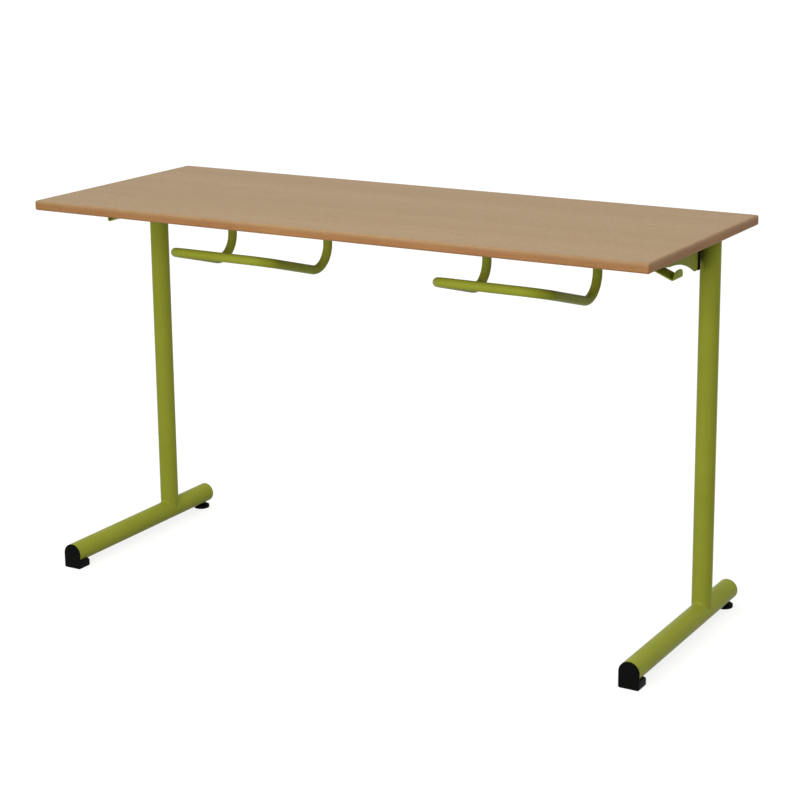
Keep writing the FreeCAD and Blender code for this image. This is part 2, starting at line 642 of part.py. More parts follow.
def bag_hook(side, sign):
    """Bent steel strip: a pad screwed under the top, a drop, and a turned-up tip."""
    pad_end = f"({HOOK_DROP_X} - Size.hook_thickness - Size.hook_pad)"
    pad_z = f"({UNDERSIDE} - Size.hook_thickness / 2)"
    low = f"({UNDERSIDE} - Size.hook_drop)"
    tip_low = f"({low} - Size.hook_fall)"
    profile = [(pad_end, pad_z), (HOOK_DROP_X, pad_z), (HOOK_DROP_X, low), (HOOK_TIP_X, tip_low),
               (f"({HOOK_TIP_X} + Size.hook_tip_lean)", f"({tip_low} + Size.hook_tip_rise)")]
    rear = number("Size.hook_middle + Size.hook_width / 2")
    points = [FreeCAD.Vector(sign * number(x), rear, number(z)) for x, z in profile]
    path = doc.addObject("Part::Feature", f"{side}_hook_path")
    path.Shape = bent_path(points, number("Size.hook_bend"))
    section = doc.addObject("Part::Feature", f"{side}_hook_section")
    start, tip = points[0], points[-1]
    across = FreeCAD.Vector(0, -number("Size.hook_width"), 0)
    half = FreeCAD.Vector(0, 0, number("Size.hook_thickness / 2"))
    section.Shape = Part.makePolygon([start - half, start + half, start + half + across,
                                      start - half + across, start - half])
    strip = sweep(f"{side}_hook_strip", path, section)

    def at_tip_corner(edge):
        """The two short edges at the end of the tip."""
        middle = middle_of(edge)
        across_strip = near(edge.Length, number("Size.hook_thickness"))
        return across_strip and near(middle.x, tip.x) and near(middle.z, tip.z)

    rounded = doc.addObject("Part::Fillet", f"{side}_hook_rounded")
    rounded.Base = strip
    tip_straight = path.Shape.Edges[-1].Length
    corner = min(number("Size.hook_corner"), tip_straight - number("Size.hook_corner_flat"))
    rounded.Edges = [(index, corner, corner) for index, edge in enumerate(strip.Shape.Edges, start=1)
                     if at_tip_corner(edge)]
    holes = [cylinder(f"{side}_hook_hole{index}", SCREW_HOLE, "Size.hook_thickness",
                      f"{sign} * {HOOK_SCREW_X}", y, f"{UNDERSIDE} - Size.hook_thickness")
             for index, y in enumerate(HOOK_SCREW_ROW, start=1)]
    piece(cut(f"{side}_hook", rounded, *holes), f"{side}_bag_hook")


for side, sign in SIDES:
    book_rack(side, sign)
    bag_hook(side, sign)


def wood_screws(label, places, seat):
    """Pan-head wood screws driven upwards, one solid for each place."""
    shank = number("Size.screw_diameter / 2")
    head = number("Size.screw_head_diameter / 2")
    crown = number("Size.screw_crown_diameter / 2")
    crown_z = -number("Size.screw_head_height")
    rim_z = -number("Size.screw_rim_height")
    length = number("Size.screw_length")
    taper_z = length - number("Size.screw_point")
    half = Part.makePolygon([FreeCAD.Vector(x, 0, z) for x, z in (
        (0, crown_z), (crown, crown_z), (head, rim_z), (head, 0), (shank, 0),
        (shank, taper_z), (0, length), (0, crown_z))])
    screw = Part.Face(half).revolve(FreeCAD.Vector(), FreeCAD.Vector(0, 0, 1), 360)
    group = doc.addObject("Part::Feature", label + "_group")
    group.Shape = Part.makeCompound([
        screw.translated(FreeCAD.Vector(number(x), number(y), number(seat))) for x, y in places])
    piece(group, label)


wood_screws("tabletop_screws", BAR_SCREWS, BAR_UNDERSIDE)
wood_screws("hook_screws", HOOK_SCREWS, f"{UNDERSIDE} - Size.hook_thickness")

doc.recompute()
for thing in doc.Objects:
    if "Invalid" in thing.State or "Error" in thing.State:
        raise RuntimeError(f"{thing.Label} did not build: {thing.State}")
for part in pieces:
    if part.Shape.isNull() or not part.Shape.isValid() or not part.Shape.Solids:
        raise RuntimeError(f"{part.Label} has no valid solid")

os.makedirs("parts", exist_ok=True)
for part in pieces:
    part.Shape.exportStep(f"parts/{part.Label}.step")
    box = part.Shape.BoundBox
    print(f"{part.Label}: {len(part.Shape.Solids)} solids, {part.Shape.Volume:.0f} mm3, "
          f"{box.XMin:.1f} {box.YMin:.1f} {box.ZMin:.1f} to {box.XMax:.1f} {box.YMax:.1f} {box.ZMax:.1f}")
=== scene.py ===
from math import asin, pi, radians, sqrt, tan

import bpy
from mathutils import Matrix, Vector


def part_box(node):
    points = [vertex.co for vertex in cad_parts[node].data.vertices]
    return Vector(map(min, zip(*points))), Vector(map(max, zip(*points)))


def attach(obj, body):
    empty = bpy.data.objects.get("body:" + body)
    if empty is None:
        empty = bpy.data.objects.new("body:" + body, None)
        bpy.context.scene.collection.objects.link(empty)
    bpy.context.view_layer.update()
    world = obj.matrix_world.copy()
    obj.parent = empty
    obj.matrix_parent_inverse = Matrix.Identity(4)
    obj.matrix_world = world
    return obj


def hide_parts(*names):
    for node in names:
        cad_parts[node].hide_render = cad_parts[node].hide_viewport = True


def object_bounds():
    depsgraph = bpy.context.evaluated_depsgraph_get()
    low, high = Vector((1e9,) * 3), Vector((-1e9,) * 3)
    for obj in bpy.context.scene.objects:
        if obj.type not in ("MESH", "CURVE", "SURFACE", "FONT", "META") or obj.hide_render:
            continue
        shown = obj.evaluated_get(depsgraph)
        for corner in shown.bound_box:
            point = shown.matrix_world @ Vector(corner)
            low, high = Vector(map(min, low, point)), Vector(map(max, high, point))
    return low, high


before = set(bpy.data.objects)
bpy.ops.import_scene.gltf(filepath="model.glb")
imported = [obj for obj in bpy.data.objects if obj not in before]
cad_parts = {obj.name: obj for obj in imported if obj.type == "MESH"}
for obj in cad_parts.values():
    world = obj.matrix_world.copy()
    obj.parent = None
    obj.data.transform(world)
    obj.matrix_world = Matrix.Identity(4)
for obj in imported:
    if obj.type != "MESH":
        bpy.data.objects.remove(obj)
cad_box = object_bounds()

# The legs: a round steel foot just above the floor and a round post coped onto it, joined by a fillet
# weld all the way round. The whole frame is powder coated in one olive green, a baked plastic film
# with a faint orange peel.

SIDES = ("left", "right")


def srgb(red, green, blue):
    """Colour as a picture editor gives it, in the linear values that shaders use."""
    linear = [channel / 255 / 12.92 if channel <= 10 else ((channel / 255 + 0.055) / 1.055) ** 2.4
              for channel in (red, green, blue)]
    return (*linear, 1.0)


def new_finish(name):
    """Empty material with a Principled shader; returns the material, its tree and the shader."""
    finish = bpy.data.materials.new(name)
    finish.use_nodes = True
    tree = finish.node_tree
    return finish, tree, tree.nodes["Principled BSDF"]


def add_node(tree, kind, inputs=None, **settings):
    """Node with its settings; an input is a value or another node's socket."""
    node = tree.nodes.new(kind)
    for setting, value in settings.items():
        setattr(node, setting, value)
    for socket, value in (inputs or {}).items():
        if isinstance(value, bpy.types.NodeSocket):
            tree.links.new(value, node.inputs[socket])
        else:
            node.inputs[socket].default_value = value
    return node


def surface_place(tree, stretch=(1, 1, 1), turn=(0, 0, 0)):
    """Object coordinates, turned and stretched to suit a pattern."""
    place = add_node(tree, "ShaderNodeTexCoord").outputs["Object"]
    rotated = add_node(tree, "ShaderNodeMapping", {"Vector": place, "Rotation": turn}).outputs["Vector"]
    return add_node(tree, "ShaderNodeMapping", {"Vector": rotated, "Scale": stretch}).outputs["Vector"]


def noise(tree, place, scale, detail=3.0):
    return add_node(tree, "ShaderNodeTexNoise", {"Vector": place, "Scale": scale,
                                                 "Detail": detail}).outputs["Fac"]


def spread(tree, value, low, high, start=0.3, end=0.7):
    """Turns part of a pattern's range into values between low and high."""
    return add_node(tree, "ShaderNodeMapRange", {"Value": value, "From Min": start, "From Max": end,
                                                 "To Min": low, "To Max": high}).outputs["Result"]


def times(tree, first, second):
    return add_node(tree, "ShaderNodeMath", {0: first, 1: second}, operation="MULTIPLY").outputs[0]


def blend_colours(tree, share, first, second):
    """One colour turning into another by a share."""
    mix = add_node(tree, "ShaderNodeMix", data_type="RGBA")
    for socket, value in (("Factor", share), ("A", first), ("B", second)):
        wanted = "VALUE" if socket == "Factor" else "RGBA"
        target = next(one for one in mix.inputs if one.name == socket and one.type == wanted)
        if isinstance(value, bpy.types.NodeSocket):
            tree.links.new(value, target)
        else:
            target.default_value = value
    return next(one for one in mix.outputs if one.type == "RGBA")


def bumps(tree, shader, height, depth, strength=1.0):
    """Small relief of the surface, as deep as a length in metres."""
    bump = add_node(tree, "ShaderNodeBump", {"Height": height, "Distance": depth,
                                             "Strength": strength})
    tree.links.new(bump.outputs["Normal"], shader.inputs["Normal"])


def powder_coat():
    """Olive green coat: a faint cloudiness of the colour, uneven gloss and fine orange peel."""
    finish, tree, shader = new_finish("olive_powder_coat")
    place = surface_place(tree)
    clouds = spread(tree, noise(tree, place, scale=14.0), low=0.0, high=1.0)
    colour = blend_colours(tree, clouds, srgb(142, 148, 46), srgb(148, 154, 52))
    specks = noise(tree, place, scale=1100.0, detail=1.0)
    specks = spread(tree, specks, low=0.0, high=0.35, start=0.62, end=0.8)
    colour = blend_colours(tree, specks, colour, srgb(124, 130, 36))
    tree.links.new(colour, shader.inputs["Base Color"])
    gloss = spread(tree, noise(tree, place, scale=90.0), low=0.30, high=0.40)
    tree.links.new(gloss, shader.inputs["Roughness"])
    orange_peel = noise(tree, place, scale=450.0, detail=2.0)
    bumps(tree, shader, orange_peel, depth=0.00008, strength=0.5)
    shader.inputs["Specular IOR Level"].default_value = 0.04
    return finish


def dress(finish, *names):
    """Gives a finish to CAD pieces."""
    for name in names:
        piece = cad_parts[name]
        piece.data.materials.clear()
        piece.data.materials.append(finish)


olive_coat = powder_coat()
for side in SIDES:
    dress(olive_coat, f"{side}_foot_tube", f"{side}_post", f"{side}_post_weld")

# The support bars: flat steel bars, sheared to length with their corners taken off, welded flat on
# the tops of the posts. The tabletop lies on them and is screwed down through them from below.


def deselect():
    bpy.ops.object.select_all(action="DESELECT")


def begin(name):
    """Names the primitive that was just added and puts its place into its mesh."""
    piece = bpy.context.object
    piece.name = name
    piece.data.name = name
    bpy.ops.object.transform_apply(location=True, rotation=True, scale=True)
    return piece


def block(name, low, high):
    """Box between two corners, as the start of a piece."""
    deselect()
    low, high = Vector(low), Vector(high)
    bpy.ops.mesh.primitive_cube_add(size=1.0, location=(low + high) / 2, scale=high - low)
    return begin(name)


def pick(piece, kind, wanted):
    """Selects the vertices, edges or faces of a piece that a test picks, and stays in edit mode."""
    bpy.ops.object.mode_set(mode="EDIT")
    bpy.ops.mesh.select_mode(type=kind)
    bpy.ops.mesh.select_all(action="DESELECT")
    bpy.ops.object.mode_set(mode="OBJECT")
    mesh = piece.data
    for one in {"VERT": mesh.vertices, "EDGE": mesh.edges, "FACE": mesh.polygons}[kind]:
        if kind == "VERT":
            one.select = wanted(one.co)
        elif kind == "EDGE":
            first, second = (mesh.vertices[index].co for index in one.vertices)
            one.select = wanted(first, second)
        else:
            one.select = wanted(one.center, one.normal)
    bpy.ops.object.mode_set(mode="EDIT")


def pick_all(piece):
    """Selects every vertex of a piece and stays in edit mode."""
    pick(piece, "VERT", lambda place: True)


def near(first, second, slack=0.00002):
    return abs(first - second) < slack


def leave_edit():
    bpy.ops.object.mode_set(mode="OBJECT")


def apply_modifier(piece, kind, **settings):
    """Adds a modifier to a piece and makes its result the mesh."""
    bpy.context.view_layer.objects.active = piece
    modifier = piece.modifiers.new(kind.lower(), kind)
    for setting, value in settings.items():
        setattr(modifier, setting, value)
    bpy.ops.object.modifier_apply(modifier=modifier.name)


def round_edges(piece, width, angle=40.0, segments=3):
    """Rounds the edges that are sharper than an angle."""
    apply_modifier(piece, "BEVEL", width=width, segments=segments, limit_method="ANGLE",
                   angle_limit=radians(angle))


def face_outwards(piece):
    """Merges what lies together and turns every face outwards."""
    pick_all(piece)
    bpy.ops.mesh.remove_doubles(threshold=0.000001)
    bpy.ops.mesh.normals_make_consistent(inside=False)
    leave_edit()


def smooth(piece, angle=35.0):
    deselect()
    piece.select_set(True)
    bpy.context.view_layer.objects.active = piece
    bpy.ops.object.shade_smooth_by_angle(angle=radians(angle))


def copy_of(piece, name, mirror=False, shift=(0, 0, 0)):
    """Second piece with a mesh of its own, mirrored across the desk or moved."""
    deselect()
    piece.select_set(True)
    bpy.context.view_layer.objects.active = piece
    bpy.ops.object.duplicate()
    copy = bpy.context.object
    copy.location = shift
    copy.scale = (-1.0 if mirror else 1.0, 1.0, 1.0)
    begin(name)
    if mirror:
        face_outwards(copy)
    return copy


def fit(piece, finish, node=None, body="desk_frame"):
    """Gives a finished piece its material, the body it rides on and the node it stands for."""
    smooth(piece)
    piece.data.materials.clear()
    piece.data.materials.append(finish)
    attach(piece, body)
    if node:
        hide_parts(node)


BAR_CORNER = 0.005
BAR_EDGE = 0.0004
bar_low, bar_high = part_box("right_support_bar")
support_bar = block("right_flat_bar", bar_low, bar_high)
pick(support_bar, "EDGE", lambda first, second: near(first.x, second.x) and near(first.y, second.y))
bpy.ops.mesh.bevel(offset=BAR_CORNER, segments=6, affect="EDGES")
leave_edit()
round_edges(support_bar, BAR_EDGE, segments=2)
left_bar = copy_of(support_bar, "left_flat_bar", mirror=True)
fit(support_bar, olive_coat, "right_support_bar")
fit(left_bar, olive_coat, "left_support_bar")

# The gussets: steel plates cut to an arch, welded on edge under the support bars ahead of the cross
# beam. They stiffen the front half of each bar and leave room for the knees.

ARCH_RADIUS = 0.235
ARCH_HEIGHT = 0.0215
ROOT_FLAT = 0.018
NOSE_HEIGHT = 0.006
GUSSET_EDGE = 0.0005


def one_point(name, place):
    """A plane cut down to one corner, from which an outline is drawn by extruding."""
    deselect()
    bpy.ops.mesh.primitive_plane_add(size=0.01, location=place)
    piece = begin(name)
    corner = piece.data.vertices[0].co.copy()
    pick(piece, "VERT", lambda point: point != corner)
    bpy.ops.mesh.delete(type="VERT")
    pick_all(piece)
    bpy.ops.transform.translate(value=Vector(place) - corner)
    return piece


def extrude_by(step):
    """Draws the selected points, edges or faces out by a step."""
    bpy.ops.mesh.extrude_region_move(TRANSFORM_OT_translate={"value": step})


gusset_low, gusset_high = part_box("right_gusset")
gusset_middle = (gusset_low.x + gusset_high.x) / 2
arch_top = gusset_high.z - ARCH_HEIGHT
arch_rise = arch_top - gusset_low.z
arch_run = sqrt(2 * ARCH_RADIUS * arch_rise - arch_rise ** 2)
arch_end = gusset_high.y - ROOT_FLAT - arch_run
gusset = one_point("right_gusset_plate", (gusset_middle, arch_end, arch_top))
bpy.ops.mesh.spin(steps=40, angle=asin(arch_run / ARCH_RADIUS), axis=(1, 0, 0),
                  center=(gusset_middle, arch_end, arch_top - ARCH_RADIUS))
pick_all(gusset)
extrude_by((0, 0, ARCH_HEIGHT))
bpy.ops.transform.resize(value=(1, 1, 0), center_override=(gusset_middle, 0, gusset_high.z))
pick(gusset, "VERT", lambda point: near(point.y, gusset_high.y - ROOT_FLAT))
extrude_by((0, ROOT_FLAT, 0))
pick(gusset, "VERT", lambda point: near(point.y, arch_end))
extrude_by((0, gusset_low.y - arch_end, 0))
pick(gusset, "VERT", lambda point: near(point.y, gusset_low.y) and near(point.z, arch_top))
bpy.ops.transform.translate(value=(0, 0, ARCH_HEIGHT - NOSE_HEIGHT))
leave_edit()
apply_modifier(gusset, "SOLIDIFY", thickness=gusset_high.x - gusset_low.x, offset=0.0)
face_outwards(gusset)
round_edges(gusset, GUSSET_EDGE, angle=50.0)
left_gusset = copy_of(gusset, "left_gusset_plate", mirror=True)
fit(gusset, olive_coat, "right_gusset")
fit(left_gusset, olive_coat, "left_gusset")

# The cross beam and the book racks: a rectangular steel tube from leg to leg, and under it two racks
# bent from round tube, whose risers are welded to its underside.

dress(olive_coat, "crossbeam", "left_rack_tube", "right_rack_tube")

# The weld beads under the coat: a ring where each riser meets the beam and where each post meets
# its bar, and short stitches along the gussets. Each is a run of melted wire with uneven ripples.

weld_ripples = bpy.data.textures.new("weld_ripples", "CLOUDS")
weld_ripples.noise_scale = 0.0025
RIPPLE = 0.0009


def ripple(bead):
    """Uneven surface of a bead."""
    apply_modifier(bead, "DISPLACE", texture=weld_ripples, texture_coords="LOCAL", strength=RIPPLE,
                   mid_level=0.5)


def ring_bead(name, centre, radius, thickness):
    """Bead round the end of a tube."""
    deselect()
    bpy.ops.mesh.primitive_torus_add(location=centre, major_radius=radius, minor_radius=thickness,
                                     major_segments=96, minor_segments=12)
    bead = begin(name)
    ripple(bead)
    fit(bead, olive_coat)


def stitch_bead(name, start, length, thickness):
    """Short bead along Y: a ball drawn out to a length."""
    deselect()
    bpy.ops.mesh.primitive_uv_sphere_add(segments=14, ring_count=10, radius=thickness,
                                         location=start, rotation=(pi / 2, 0, 0))
    bead = begin(name)
    pick(bead, "VERT", lambda point: point.y > start[1] + thickness / 20)
    bpy.ops.transform.translate(value=(0, length, 0))
    pick(bead, "EDGE", lambda first, second: abs(first.y - second.y) > length / 2)
    bpy.ops.mesh.subdivide(number_cuts=24)
    leave_edit()
    ripple(bead)
    fit(bead, olive_coat)


RACK_RADIUS = 0.009
RACK_BEAD = 0.0015
RACK_BEAD_RADIUS = 0.0096
POST_BEAD = 0.0019
POST_BEAD_RADIUS = 0.0198
STITCH_BEAD = 0.0017
STITCH_LENGTH = 0.024
STITCH_STARTS = (-0.180, -0.085, 0.015)
for side in SIDES:
    rack_low, rack_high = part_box(f"{side}_rack_tube")
    for place, x in (("inner", rack_low.x + RACK_RADIUS), ("outer", rack_high.x - RACK_RADIUS)):
        ring_bead(f"{side}_rack_{place}_weld", (x, rack_high.y - RACK_RADIUS, rack_high.z),
                  RACK_BEAD_RADIUS, RACK_BEAD)
    post_low, post_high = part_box(f"{side}_post")
    post_top = ((post_low.x + post_high.x) / 2, (post_low.y + post_high.y) / 2, post_high.z)
    ring_bead(f"{side}_post_top_weld", post_top, POST_BEAD_RADIUS, POST_BEAD)
    plate_low, plate_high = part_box(f"{side}_gusset")
    for face, x in (("first", plate_low.x), ("second", plate_high.x)):
        for number, y in enumerate(STITCH_STARTS, start=1):
            stitch_bead(f"{side}_gusset_{face}_weld_{number}", (x, y, plate_high.z), STITCH_LENGTH,
                        STITCH_BEAD)

# The plugs of the cross beam: moulded black plastic lids with a hollow spigot, pressed into the open
# ends of the beam. Polypropylene with the fine eroded texture of the mould, which keeps it matt.

PLUG_FLANGE = 0.002
PLUG_INSET = 0.0016
PLUG_WALL = 0.002
PLUG_EDGE = 0.0007


def moulded_plastic():
    finish, tree, shader = new_finish("black_moulded_plastic")
    place = surface_place(tree)
    shades = spread(tree, noise(tree, place, scale=60.0), low=0.0, high=1.0)
    colour = blend_colours(tree, shades, srgb(7, 7, 7), srgb(11, 11, 10))
    tree.links.new(colour, shader.inputs["Base Color"])
    gloss = spread(tree, noise(tree, place, scale=220.0), low=0.5, high=0.64)
    tree.links.new(gloss, shader.inputs["Roughness"])
    mould_texture = noise(tree, place, scale=1500.0, detail=2.0)
    bumps(tree, shader, mould_texture, depth=0.00005, strength=0.6)
    shader.inputs["Specular IOR Level"].default_value = 0.04
    return finish


black_plastic = moulded_plastic()
plug_low, plug_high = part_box("right_crossbeam_plug")
beam_plug = block("right_beam_lid", (plug_high.x - PLUG_FLANGE, plug_low.y, plug_low.z), plug_high)
pick(beam_plug, "FACE", lambda centre, normal: normal.x < -0.5)
bpy.ops.mesh.inset(thickness=PLUG_INSET)
extrude_by((plug_low.x - plug_high.x + PLUG_FLANGE, 0, 0))
bpy.ops.mesh.inset(thickness=PLUG_WALL)
extrude_by((plug_high.x - PLUG_FLANGE - plug_low.x, 0, 0))
leave_edit()
round_edges(beam_plug, PLUG_EDGE)
left_plug = copy_of(beam_plug, "left_beam_lid", mirror=True)
fit(beam_plug, black_plastic, "right_crossbeam_plug")
fit(left_plug, black_plastic, "left_crossbeam_plug")

# The caps of the gussets: short channels of the same plastic, pushed over the sheared rear edges of
# the plates beside the posts. Their black is also painted shade: it stands for the deep shade in the
# crevice between each plate and its post.

CAP_WALL = 0.0015
CAP_BACK = 0.002
CAP_ROUND = 0.0012
CAP_EDGE = 0.0003
CUT_CLEAR = 0.001
cap_low, cap_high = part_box("right_gusset_cap")
# Black cap, partly painted shade of the crevice between the plate and the post.
cap = block("right_cap_and_painted_shade", cap_low, cap_high)
pick(cap, "EDGE", lambda first, second: near(first.x, second.x) and near(first.y, cap_high.y)
     and near(second.y, cap_high.y))
bpy.ops.mesh.bevel(offset=CAP_ROUND, segments=4, affect="EDGES")
leave_edit()
slot = block("cap_slot", cap_low + Vector((CAP_WALL, -CUT_CLEAR, -CUT_CLEAR)),
             cap_high + Vector((-CAP_WALL, -CAP_BACK, CUT_CLEAR)))
apply_modifier(cap, "BOOLEAN", operation="DIFFERENCE", solver="EXACT", object=slot)
bpy.data.objects.remove(slot)
round_edges(cap, CAP_EDGE)
left_cap = copy_of(cap, "left_cap_and_painted_shade", mirror=True)
fit(cap, black_plastic, "right_gusset_cap")
fit(left_cap, black_plastic, "left_gusset_cap")

# The front shoes: moulded black plastic, with a round-topped front that covers the end of the foot,
# a block under the tube that stands on the floor, and a hollow spigot pressed into the tube. The
# lower edges at the sides are well rounded.


def join(pieces):
    """Makes several pieces one, the first of them."""
    deselect()
    for piece in pieces:
        piece.select_set(True)
    bpy.context.view_layer.objects.active = pieces[0]
    bpy.ops.object.join()


FOOT_RADIUS = 0.020
SHOE_FRONT = 0.0025
SHOE_SIDE = 0.0175
SHOE_CHAMFER = 0.004
SHOE_CORNER = 0.0035
SHOE_EDGE = 0.0011
CRADLE_RADIUS = 0.0201
SPIGOT_RADIUS = 0.0179
SPIGOT_LENGTH = 0.020
SPIGOT_OVERLAP = 0.0004
SPIGOT_FLOOR = 0.001
SPIGOT_EDGE = 0.0005
shoe_low, shoe_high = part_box("right_front_shoe")
foot_x = (shoe_low.x + shoe_high.x) / 2
foot_z = shoe_high.z - FOOT_RADIUS
seat_y = shoe_low.y + SHOE_FRONT
shoe_axis = Vector((foot_x, seat_y, foot_z))
cradle_drop = foot_z - SHOE_SIDE
cradle_half = sqrt(CRADLE_RADIUS ** 2 - cradle_drop ** 2)
shoulder = FOOT_RADIUS - cradle_half
shoe = one_point("right_shoe", shoe_axis + Vector((cradle_half, 0, -cradle_drop)))
bpy.ops.mesh.spin(steps=24, angle=-2 * asin(cradle_half / CRADLE_RADIUS), axis=(0, 1, 0),
                  center=shoe_axis)
for step in ((-shoulder, 0, 0), (0, 0, -SHOE_SIDE), (2 * FOOT_RADIUS, 0, 0), (0, 0, SHOE_SIDE),
             (-shoulder, 0, 0)):
    extrude_by(step)
pick_all(shoe)
bpy.ops.mesh.remove_doubles(threshold=0.000002)
bpy.ops.mesh.select_all(action="SELECT")
bpy.ops.mesh.edge_face_add()
pick(shoe, "VERT", lambda point: near(point.x, foot_x - FOOT_RADIUS) and near(point.z, SHOE_SIDE))
extrude_by((0, 0, cradle_drop))
bpy.ops.mesh.spin(steps=40, angle=-pi, axis=(0, 1, 0), center=shoe_axis)
extrude_by((0, 0, -cradle_drop))
pick_all(shoe)
bpy.ops.mesh.remove_doubles(threshold=0.000002)
pick(shoe, "VERT", lambda point: point.z > shoe_low.z + SHOE_SIDE / 2)
bpy.ops.mesh.edge_face_add()
bpy.ops.mesh.select_all(action="SELECT")
extrude_by((0, -SHOE_FRONT, 0))
leave_edit()
face_outwards(shoe)
pick(shoe, "FACE", lambda centre, normal: normal.y > 0.5 and centre.z < SHOE_SIDE)
extrude_by((0, shoe_high.y - seat_y, 0))
pick(shoe, "EDGE", lambda first, second: all(near(point.y, shoe_high.y) and near(point.z, SHOE_SIDE)
                                             for point in (first, second)))
bpy.ops.mesh.bevel(offset=SHOE_CHAMFER, segments=1, affect="EDGES")
leave_edit()
pick(shoe, "EDGE", lambda first, second: near(first.x, second.x)
     and all(near(point.z, shoe_low.z) and near(abs(point.x - foot_x), FOOT_RADIUS)
             for point in (first, second)))
bpy.ops.mesh.bevel(offset=SHOE_CORNER, segments=5, affect="EDGES")
leave_edit()
face_outwards(shoe)
round_edges(shoe, SHOE_EDGE, angle=35.0)
spigot_middle = shoe_axis + Vector((0, SPIGOT_LENGTH / 2 - SPIGOT_OVERLAP, 0))
bpy.ops.mesh.primitive_cylinder_add(vertices=64, radius=SPIGOT_RADIUS, depth=SPIGOT_LENGTH,
                                    location=spigot_middle, rotation=(pi / 2, 0, 0))
spigot = begin("right_shoe_spigot")
pick(spigot, "FACE", lambda centre, normal: normal.y > 0.5)
bpy.ops.mesh.inset(thickness=PLUG_WALL)
extrude_by((0, SPIGOT_FLOOR - SPIGOT_LENGTH, 0))
leave_edit()
round_edges(spigot, SPIGOT_EDGE)
join([shoe, spigot])
left_shoe = copy_of(shoe, "left_shoe", shift=(-2 * foot_x, 0, 0))
fit(shoe, black_plastic, "right_front_shoe")
fit(left_shoe, black_plastic, "left_front_shoe")

# The rear plugs: slightly domed black lids that close the back ends of the feet, held by a hollow
# spigot inside the tube.


def turned(name, profile, centre, axis):
    """Solid of revolution from pairs of radius and place along an axis."""
    centre, axis = Vector(centre), Vector(axis)
    places = [centre + Vector((radius, 0, 0)) + axis * along for radius, along in profile]
    piece = one_point(name, places[0])
    for before, after in zip(places, places[1:]):
        extrude_by(after - before)
    pick_all(piece)
    bpy.ops.mesh.spin(steps=64, angle=2 * pi, center=centre, axis=axis)
    leave_edit()
    face_outwards(piece)
    return piece


LID_DEPTH = 0.0070
LID_CHAMFER = 0.0004
LID_FLOOR = 0.0002
back_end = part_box("right_foot_tube")[1].y
lid_bore = SPIGOT_RADIUS - PLUG_WALL
dome = [(0, 0.0020), (0.0070, 0.00195), (0.0130, 0.0018), (0.0170, 0.0014), (0.0190, 0.0009),
        (0.0198, 0.0003), (FOOT_RADIUS, 0.0)]
lid_spigot = [(SPIGOT_RADIUS, 0.0), (SPIGOT_RADIUS, LID_CHAMFER - LID_DEPTH),
              (SPIGOT_RADIUS - LID_CHAMFER, -LID_DEPTH), (lid_bore, -LID_DEPTH), (lid_bore, -LID_FLOOR),
              (0, -LID_FLOOR)]
rear_plug = turned("right_foot_lid", dome + lid_spigot, (foot_x, back_end, foot_z), (0, 1, 0))
left_rear_plug = copy_of(rear_plug, "left_foot_lid", shift=(-2 * foot_x, 0, 0))
fit(rear_plug, black_plastic, "right_rear_plug")
fit(left_rear_plug, black_plastic, "left_rear_plug")

# The rear glides: a zinc plated bush in the foot, an M8 stud screwed into it and a round black
# plastic pad on the stud, which is turned by hand to level the desk.

THREAD_PITCH = 0.00125
THREAD_CREST = 0.00396
THREAD_ROOT = 0.00335
THREAD_FLANK = 0.45 * THREAD_PITCH
THREAD_FLAT = 0.1 * THREAD_PITCH
SPARE_TURNS = 2


def zinc_plate():
    """Bright zinc: clear passivated plating with a soft grain and slightly uneven gloss."""
    finish, tree, shader = new_finish("zinc_plated_steel")
    place = surface_place(tree)
    shades = spread(tree, noise(tree, place, scale=200.0), low=0.0, high=1.0)
    colour = blend_colours(tree, shades, srgb(176, 178, 182), srgb(198, 200, 202))
    tree.links.new(colour, shader.inputs["Base Color"])
    gloss = spread(tree, noise(tree, place, scale=400.0), low=0.28, high=0.45)
    tree.links.new(gloss, shader.inputs["Roughness"])
    grain = noise(tree, place, scale=2500.0, detail=2.0)
    bumps(tree, shader, grain, depth=0.00003, strength=0.4)
    shader.inputs["Metallic"].default_value = 1.0
    return finish


zinc_steel = zinc_plate()
dress(zinc_steel, "left_glide_bush", "right_glide_bush")
pad_low, pad_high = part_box("right_glide_pad")
glide_axis = Vector(((pad_low.x + pad_high.x) / 2, (pad_low.y + pad_high.y) / 2, 0))
sole = [(0, 0.0006), (0.0095, 0.0006), (0.0101, 0.0), (0.0156, 0.0)]
rim = [(0.0166, 0.0004), (0.0170, 0.0014), (0.0170, 0.0054), (0.0167, 0.0062), (0.0160, 0.0066)]
cone = [(0.0096, 0.0092), (0.0090, 0.0098), (0.0086, 0.0100)]
socket = [(0.0046, 0.0100), (0.00405, 0.0096), (0.00405, 0.0059), (0, 0.0059)]
pad = turned("right_glide_disc", sole + rim + cone + socket, glide_axis, (0, 0, 1))
left_pad = copy_of(pad, "left_glide_disc", shift=(-2 * glide_axis.x, 0, 0))
stud_low, stud_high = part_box("right_glide_stud")
stud = one_point("right_glide_thread", (THREAD_ROOT, 0, 0))
for step in ((THREAD_CREST - THREAD_ROOT, 0, THREAD_FLANK), (0, 0, THREAD_FLAT),
             (THREAD_ROOT - THREAD_CREST, 0, THREAD_FLANK)):
    extrude_by(step)
leave_edit()
turns = int((stud_high.z - stud_low.z) / THREAD_PITCH) + 2 * SPARE_TURNS
apply_modifier(stud, "SCREW", axis="Z", angle=2 * pi, screw_offset=THREAD_PITCH, iterations=turns,
               steps=32, render_steps=32)
face_outwards(stud)
stud.location = (glide_axis.x, glide_axis.y, stud_low.z - SPARE_TURNS * THREAD_PITCH)
begin("right_glide_thread")
for cut_z, upwards in ((stud_low.z, -1), (stud_high.z, 1)):
    pick_all(stud)
    bpy.ops.mesh.bisect(plane_co=(glide_axis.x, glide_axis.y, cut_z), plane_no=(0, 0, upwards),
                        use_fill=True, clear_outer=True)
bpy.ops.mesh.select_all(action="SELECT")
bpy.ops.mesh.fill_holes(sides=0)
leave_edit()
face_outwards(stud)
